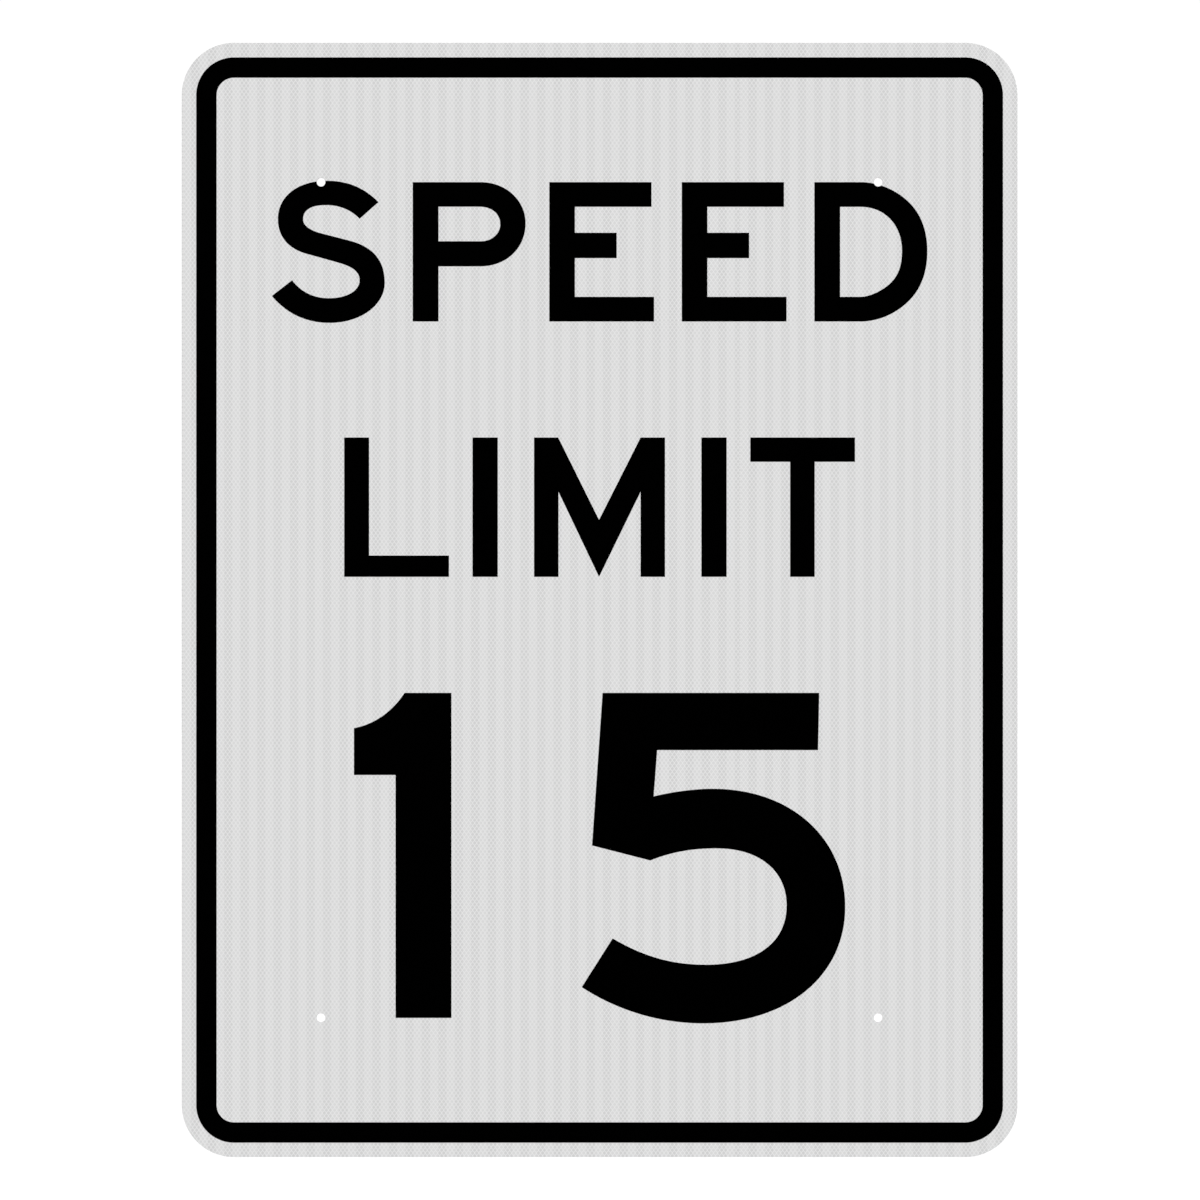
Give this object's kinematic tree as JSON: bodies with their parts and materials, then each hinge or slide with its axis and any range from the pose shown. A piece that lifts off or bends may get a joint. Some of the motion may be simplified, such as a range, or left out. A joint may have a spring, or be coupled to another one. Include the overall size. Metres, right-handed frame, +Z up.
{
  "type": "speed limit sign",
  "caption": "Flat upright traffic sign panel: aluminium blank with rounded corners, white reflective sheeting, a black border band and punched bolt holes for its posts.",
  "frame": {"origin": "centre of the blank's rear face, on the axis of the four-hole bolt pattern", "axes": "+X to the reader's right across the sign, +Z up the sign, -Y out of the sign's face towards the reader"},
  "size_m": [0.9144, 0.003, 1.2192],
  "materials": {
    "sheet_aluminium": "rolled mill finish",
    "white_sheeting": "smooth, with a diamond mesh under the surface",
    "black_film": "smooth opaque film"
  },
  "bodies": {
    "root": {"sign_blank": "sheet_aluminium", "reflective_sheeting": "white_sheeting", "border_film": "black_film"}
  },
  "joints": []
}
